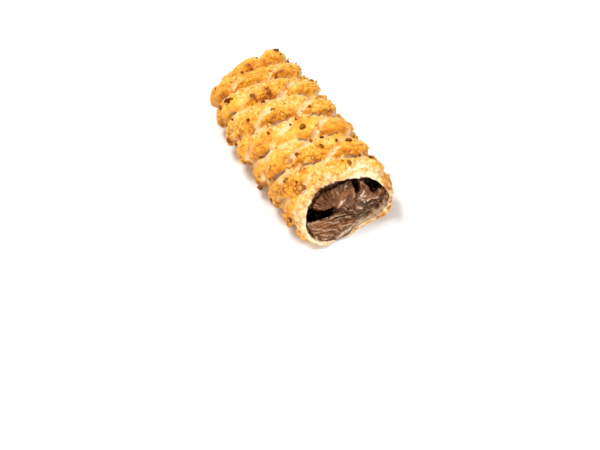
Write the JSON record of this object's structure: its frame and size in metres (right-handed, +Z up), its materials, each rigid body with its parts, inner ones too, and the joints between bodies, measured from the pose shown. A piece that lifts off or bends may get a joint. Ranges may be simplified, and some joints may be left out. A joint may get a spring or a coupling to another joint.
{
  "type": "nut nougat pastry stick",
  "caption": "Baked pastry stick with diamond scales and chopped nuts, closed at one end and torn open at the other, where its nougat cream filling shows.",
  "frame": {"origin": "centre of the bounding box's base, on the surface that the stick lies on", "axes": "+X along the stick, from its closed end to its tear; +Z up"},
  "size_m": [0.1012, 0.0544, 0.0364],
  "materials": {
    "baked_crust": "crumbly golden crust, matt with a slight sheen of fat",
    "nougat_cream": "glossy soft cream"
  },
  "bodies": {
    "root": {"crust": "baked_crust", "cream": "nougat_cream"}
  },
  "joints": []
}
